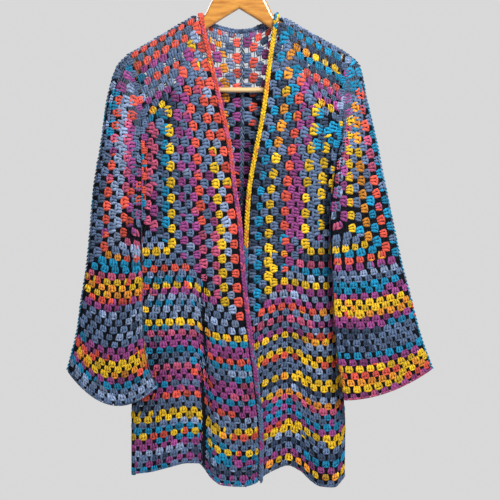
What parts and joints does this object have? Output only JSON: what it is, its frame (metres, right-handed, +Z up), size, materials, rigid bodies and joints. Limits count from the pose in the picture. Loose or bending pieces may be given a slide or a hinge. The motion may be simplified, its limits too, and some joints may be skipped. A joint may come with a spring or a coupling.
{
  "type": "granny square cardigan on a clothes hanger",
  "caption": "Long-sleeved open-front cardigan crocheted as folded hexagons of striped clusters, hung on a wooden clothes hanger with a trouser bar.",
  "frame": {"origin": "the inside of the hook's crown, where it bears on the rail or peg it hangs from", "axes": "+Z up, -Y out of the front of the garment, +X towards the wearer's left"},
  "size_m": [0.6847, 0.0819, 1.0258],
  "materials": {
    "crochet": "soft self-striping cotton yarn in open crocheted clusters: slate, plum, coral, teal and yellow",
    "coral_band": "corded crochet edging, coral, pink and plum",
    "yellow_band": "corded crochet edging, golden yellow",
    "slate_band": "corded crochet edging, slate",
    "hanger_wood": "honey varnish, glossy",
    "hanger_bar": "pale varnished dowel",
    "hanger_hook": "bright plated steel wire"
  },
  "bodies": {
    "root": {"right_front": "crochet", "right_front_rows": "crochet", "right_back": "crochet", "right_back_rows": "crochet", "right_sleeve_front": "crochet", "right_sleeve_front_rounds": "crochet", "right_sleeve_back": "crochet", "right_sleeve_back_rounds": "crochet", "left_front": "crochet", "left_front_rows": "crochet", "left_back": "crochet", "left_back_rows": "crochet", "left_sleeve_front": "crochet", "left_sleeve_front_rounds": "crochet", "left_sleeve_back": "crochet", "left_sleeve_back_rounds": "crochet", "right_band": "coral_band", "left_band": "yellow_band", "neck_band": "slate_band", "hanger_wood": "hanger_wood", "hanger_bar": "hanger_bar", "hanger_hook": "hanger_hook"}
  },
  "joints": []
}
